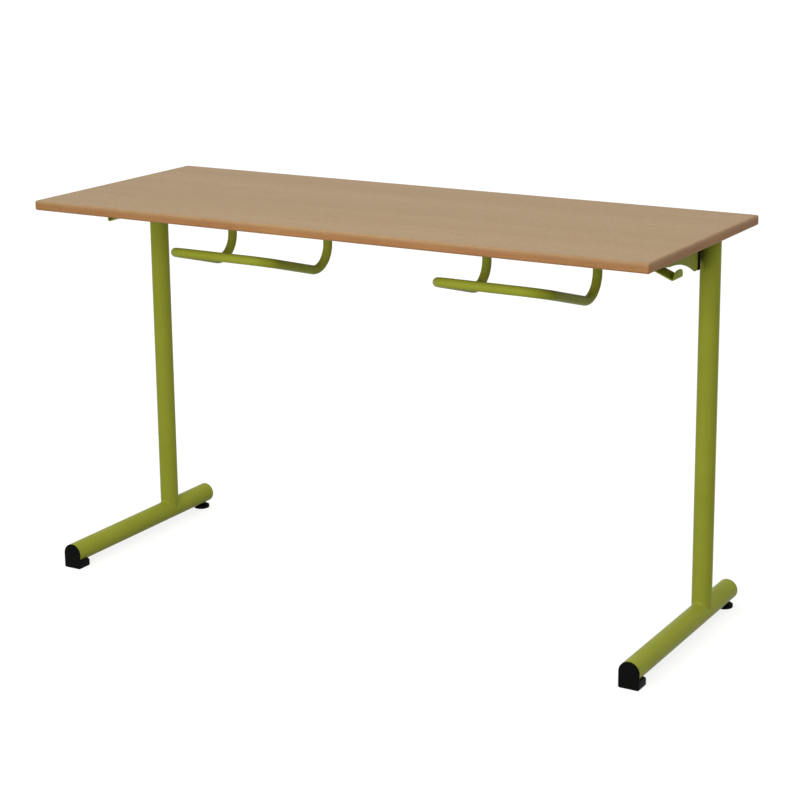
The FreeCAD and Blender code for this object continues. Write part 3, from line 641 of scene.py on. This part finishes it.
left_stud = copy_of(stud, "left_glide_thread", shift=(-2 * glide_axis.x, 0, 0))
for side, disc, thread in (("right", pad, stud), ("left", left_pad, left_stud)):
    fit(disc, black_plastic, f"{side}_glide_pad", f"{side}_glide_foot")
    fit(thread, zinc_steel, f"{side}_glide_stud", f"{side}_glide_screw")

# The board: pressed wood chips between two sheets of laminate with a pale beech print. The print
# has fine fibres and short brown flecks along the length of the top, under a satin melamine skin.


def flecks(tree, place, share, size):
    """Short dashes scattered over a stretched pattern of cells."""
    cells = add_node(tree, "ShaderNodeTexVoronoi", {"Vector": place, "Scale": 1.0})
    spots = spread(tree, cells.outputs["Distance"], low=1.0, high=0.0, start=size / 2, end=size)
    chance = add_node(tree, "ShaderNodeSeparateColor", {"Color": cells.outputs["Color"]}).outputs[0]
    chosen = spread(tree, chance, low=0.0, high=1.0, start=1.0 - share, end=1.02 - share)
    return times(tree, spots, chosen)


def beech_print():
    finish, tree, shader = new_finish("beech_print_laminate")
    bands = noise(tree, surface_place(tree, stretch=(0.7, 16.0, 1.0)), scale=1.0, detail=4.0)
    bands = spread(tree, bands, low=0.0, high=1.0)
    fibres = noise(tree, surface_place(tree, stretch=(9.0, 420.0, 1.0)), scale=1.0, detail=5.0)
    fibres = spread(tree, fibres, low=0.0, high=1.0)
    colour = blend_colours(tree, bands, srgb(167, 140, 104), srgb(175, 148, 112))
    colour = blend_colours(tree, times(tree, fibres, 0.4), colour, srgb(159, 130, 94))
    dashes = flecks(tree, surface_place(tree, stretch=(95.0, 620.0, 1.0)), share=0.3, size=0.55)
    colour = blend_colours(tree, times(tree, dashes, 0.3), colour, srgb(133, 100, 69))
    tree.links.new(colour, shader.inputs["Base Color"])
    gloss = spread(tree, noise(tree, surface_place(tree), scale=160.0), low=0.44, high=0.54)
    tree.links.new(gloss, shader.inputs["Roughness"])
    pores = noise(tree, surface_place(tree, stretch=(300.0, 900.0, 1.0)), scale=1.0, detail=2.0)
    bumps(tree, shader, pores, depth=0.00003, strength=0.5)
    shader.inputs["Specular IOR Level"].default_value = 0.06
    return finish


def chip_board():
    finish, tree, shader = new_finish("pressed_wood_chips")
    place = surface_place(tree, stretch=(140, 220, 380))
    chips = add_node(tree, "ShaderNodeTexVoronoi", {"Vector": place, "Scale": 1.0})
    shade = add_node(tree, "ShaderNodeSeparateColor", {"Color": chips.outputs["Color"]}).outputs[0]
    colour = blend_colours(tree, shade, srgb(150, 116, 76), srgb(196, 164, 118))
    tree.links.new(colour, shader.inputs["Base Color"])
    gloss = spread(tree, shade, low=0.75, high=0.9, start=0.0, end=1.0)
    tree.links.new(gloss, shader.inputs["Roughness"])
    bumps(tree, shader, chips.outputs["Distance"], depth=0.0002, strength=0.6)
    return finish


laminate = beech_print()
dress(laminate, "top_laminate", "underside_laminate")
dress(chip_board(), "tabletop_core")

# The lipping: four strips of solid beech glued round the board, planed flush and rounded over along
# their edges, then varnished. The grain runs along each strip.

# Height of the painted sheen along the upper edge of the lipping.
SHEEN_HEIGHT = 0.009
edge_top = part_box("front_edge_lipping")[1].z


def solid_beech(name, turn):
    """Varnished beech, painted paler along its upper rounded edge: a painted sheen where the edge faces
    the light.
    """
    finish, tree, shader = new_finish(name)
    tint = noise(tree, surface_place(tree, stretch=(6.0, 9.0, 9.0), turn=turn), scale=1.0)
    tint = spread(tree, tint, low=0.0, high=1.0)
    along = surface_place(tree, stretch=(14.0, 600.0, 600.0), turn=turn)
    fibres = spread(tree, noise(tree, along, scale=1.0, detail=5.0), low=0.0, high=1.0)
    colour = blend_colours(tree, tint, srgb(165, 121, 76), srgb(151, 106, 68))
    colour = blend_colours(tree, times(tree, fibres, 0.5), colour, srgb(137, 94, 55))
    along = surface_place(tree, stretch=(130.0, 700.0, 700.0), turn=turn)
    dashes = flecks(tree, along, share=0.3, size=0.6)
    colour = blend_colours(tree, times(tree, dashes, 0.3), colour, srgb(116, 74, 42))
    # Painted sheen: the rounded upper edge, which faces the light, turns paler towards the colour of the
    # top, in uneven patches.
    height = add_node(tree, "ShaderNodeSeparateXYZ", {"Vector": surface_place(tree)}).outputs["Z"]
    painted_sheen = spread(tree, height, low=0.0, high=1.0, start=edge_top - SHEEN_HEIGHT, end=edge_top)
    uneven = spread(tree, noise(tree, surface_place(tree), scale=45.0), low=0.6, high=1.0)
    colour = blend_colours(tree, times(tree, painted_sheen, uneven), colour, srgb(166, 138, 102))
    tree.links.new(colour, shader.inputs["Base Color"])
    gloss = spread(tree, fibres, low=0.42, high=0.54, start=0.0, end=1.0)
    tree.links.new(gloss, shader.inputs["Roughness"])
    bumps(tree, shader, fibres, depth=0.00004, strength=0.5)
    shader.inputs["Specular IOR Level"].default_value = 0.1
    return finish


long_beech = solid_beech("beech_lipping_long", (0, 0, 0))
short_beech = solid_beech("beech_lipping_short", (0, 0, radians(90)))
dress(long_beech, "front_edge_lipping", "rear_edge_lipping")
dress(short_beech, "left_edge_lipping", "right_edge_lipping")

# The bag hooks: steel strip bent three times over a bar, with the corners of the tip rounded off and
# the edges broken, coated like the frame and screwed under the ends of the top.

HOOK_THICKNESS = 0.0025
HOOK_BEND = 0.003
HOOK_CORNER = 0.0126
HOOK_DROP = 0.033
HOOK_RUN = 0.038
HOOK_FALL = 0.016
HOOK_TIP_RISE = 0.017
HOOK_TIP_LEAN = 0.002
HOOK_TIP_X = 0.616
HOOK_EDGE = 0.0004
hook_low, hook_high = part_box("right_bag_hook")
drop_x = HOOK_TIP_X - HOOK_RUN
pad_z = hook_high.z - HOOK_THICKNESS / 2
low_z = hook_high.z - HOOK_DROP
corners = [Vector((hook_low.x, hook_low.y, pad_z)), Vector((drop_x, hook_low.y, pad_z)),
           Vector((drop_x, hook_low.y, low_z)), Vector((HOOK_TIP_X, hook_low.y, low_z - HOOK_FALL)),
           Vector((HOOK_TIP_X + HOOK_TIP_LEAN, hook_low.y, low_z - HOOK_FALL + HOOK_TIP_RISE))]
hook = one_point("right_hook_strip", corners[0])
extrude_by((0, hook_high.y - hook_low.y, 0))
pick_all(hook)
here = corners[0]
for before, corner, after in zip(corners, corners[1:], corners[2:]):
    ahead, onwards = (corner - before).normalized(), (after - corner).normalized()
    bend = ahead.angle(onwards)
    upwards = ahead.cross(onwards).y < 0
    bend_start = corner - ahead * HOOK_BEND * tan(bend / 2)
    extrude_by(bend_start - here)
    to_centre = (onwards - ahead * ahead.dot(onwards)).normalized()
    bpy.ops.mesh.spin(steps=8, angle=bend if upwards else -bend, axis=(0, 1, 0),
                      center=bend_start + to_centre * HOOK_BEND)
    here = corner + onwards * HOOK_BEND * tan(bend / 2)
extrude_by(corners[-1] - here)
pick(hook, "VERT", lambda point: near(point.x, corners[-1].x) and near(point.z, corners[-1].z))
bpy.ops.mesh.bevel(offset=HOOK_CORNER, segments=8, affect="VERTICES")
leave_edit()
apply_modifier(hook, "SOLIDIFY", thickness=HOOK_THICKNESS, offset=0.0, use_even_offset=True)
face_outwards(hook)
round_edges(hook, HOOK_EDGE, angle=50.0)
left_hook = copy_of(hook, "left_hook_strip", mirror=True)
fit(hook, olive_coat, "right_bag_hook")
fit(left_hook, olive_coat, "left_bag_hook")

# The screws: zinc plated pan heads with a cross recess, driven up through the bars and the pads of
# the hooks into the board.

BAR_SCREW_X = 0.627
BAR_SCREW_Y = (-0.180, -0.07175, 0.0365, 0.170)
HOOK_SCREW_X = 0.5575
HOOK_SCREW_Y = (-0.058, -0.039)
HEAD_HEIGHT = 0.0026
HEAD_RADIUS = 0.0040
SHANK_RADIUS = 0.0020
RECESS_REACH = 0.0022
RECESS_HALF = 0.0004
RECESS_DEPTH = 0.0014
RECESS_TURN = radians(10)
RECESS_TOP = -HEAD_HEIGHT + RECESS_DEPTH
RECESS_BOTTOM = -HEAD_HEIGHT - CUT_CLEAR
head = [(0, -HEAD_HEIGHT), (0.0014, -0.00255), (0.0026, -0.0023), (0.0035, -0.0017),
        (0.0039, -0.0010), (HEAD_RADIUS, -0.0004), (HEAD_RADIUS, 0.0)]
shank = [(SHANK_RADIUS, 0.0), (SHANK_RADIUS, 0.0120), (0, 0.0160)]
screw = turned("one_screw", head + shank, (0, 0, 0), (0, 0, 1))
recess = block("cross_recess", (-RECESS_REACH, -RECESS_HALF, RECESS_BOTTOM),
               (RECESS_REACH, RECESS_HALF, RECESS_TOP))
other_arm = block("other_arm", (-RECESS_HALF, -RECESS_REACH, RECESS_BOTTOM),
                  (RECESS_HALF, RECESS_REACH, RECESS_TOP))
apply_modifier(recess, "BOOLEAN", operation="UNION", solver="EXACT", object=other_arm)
recess.rotation_euler.z = RECESS_TURN
apply_modifier(screw, "BOOLEAN", operation="DIFFERENCE", solver="EXACT", object=recess)
for tool in (recess, other_arm):
    bpy.data.objects.remove(tool)
for node, x, rows, carrier in (("tabletop_screws", BAR_SCREW_X, BAR_SCREW_Y, "right_support_bar"),
                               ("hook_screws", HOOK_SCREW_X, HOOK_SCREW_Y, None)):
    seat_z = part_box(carrier)[0].z if carrier else hook_high.z - HOOK_THICKNESS
    copies = [copy_of(screw, f"{node}_{side}_{row}", shift=((x if side == "right" else -x), y, seat_z))
              for side in SIDES for row, y in enumerate(rows, start=1)]
    join(copies)
    begin(f"{node}_cross_head")
    fit(copies[0], zinc_steel, node)
bpy.data.objects.remove(screw)

# The studio: a white floor that runs to the horizon under a white surround that is brighter overhead,
# one soft box in front, a little higher than the top, and the camera of the photograph.

SKY_LOW = 0.6
SKY_HIGH = 1.05
BOX_POWER = 19.5
BOX_SIZE = 1.0
BOX_PLACE = Vector((0.1, -1.8, 1.05))
BOX_AIM = Vector((0.0, 0.0, 0.45))
FLOOR_SIZE = 400.0
FLOOR_GREY = 0.3
FLOOR_GLOW = 0.78
CAMERA_PLACE = Vector((1.9205, -3.1896, 1.4196))
CAMERA_AIM = Vector((0.0285, 0.0, 0.5440))
CAMERA_ROLL = radians(-0.58)
CAMERA_LENS = 89.67
CAMERA_SHIFT = -0.1
SENSOR_WIDTH = 36.0
deselect()
bpy.ops.mesh.primitive_plane_add(size=FLOOR_SIZE, location=(0, 0, cad_box[0][2]))
floor = bpy.context.object
floor.name = "studio_floor"


def seen_directly(tree):
    """1 for what the camera sees, straight or in a reflection, and 0 for light on the object."""
    path = add_node(tree, "ShaderNodeLightPath")
    seen = add_node(tree, "ShaderNodeMath", {0: path.outputs["Is Camera Ray"],
                                             1: path.outputs["Is Glossy Ray"]}, operation="MAXIMUM")
    return add_node(tree, "ShaderNodeMath", {0: seen.outputs[0], 1: path.outputs["Is Transmission Ray"]},
                    operation="MAXIMUM").outputs[0]


finish, tree, shader = new_finish("white_floor")
shader.inputs["Base Color"].default_value = (FLOOR_GREY, FLOOR_GREY, FLOOR_GREY, 1.0)
shader.inputs["Roughness"].default_value = 1.0
shader.inputs["Specular IOR Level"].default_value = 0.0
shader.inputs["Emission Color"].default_value = (1.0, 1.0, 1.0, 1.0)
tree.links.new(times(tree, seen_directly(tree), FLOOR_GLOW), shader.inputs["Emission Strength"])
floor.data.materials.append(finish)

world = bpy.data.worlds.new("white_surround")
bpy.context.scene.world = world
world.use_nodes = True
tree = world.node_tree
background = tree.nodes["Background"]
background.inputs["Color"].default_value = (1.0, 1.0, 1.0, 1.0)
direction = add_node(tree, "ShaderNodeTexCoord").outputs["Generated"]
height = add_node(tree, "ShaderNodeSeparateXYZ", {"Vector": direction}).outputs["Z"]
sky_light = spread(tree, height, low=SKY_LOW, high=SKY_HIGH, start=0.0, end=1.0)
strength = spread(tree, seen_directly(tree), low=sky_light, high=1.0, start=0.0, end=1.0)
tree.links.new(strength, background.inputs["Strength"])

bpy.ops.object.light_add(type="AREA", location=BOX_PLACE)
soft_box = bpy.context.object
soft_box.name = "soft_box"
soft_box.data.shape = "DISK"
soft_box.data.size = BOX_SIZE
soft_box.data.energy = BOX_POWER
soft_box.visible_camera = False
soft_box.rotation_euler = (BOX_AIM - BOX_PLACE).to_track_quat("-Z", "Y").to_euler()

bpy.ops.object.camera_add(location=CAMERA_PLACE)
camera = bpy.context.object
camera.name = "photo_camera"
camera.rotation_euler = (CAMERA_AIM - CAMERA_PLACE).to_track_quat("-Z", "Y").to_euler()
camera.rotation_euler.rotate_axis("Z", CAMERA_ROLL)
camera.data.sensor_width = SENSOR_WIDTH
camera.data.lens = CAMERA_LENS
camera.data.shift_y = CAMERA_SHIFT
bpy.context.scene.camera = camera
bpy.context.scene.view_settings.view_transform = "Standard"
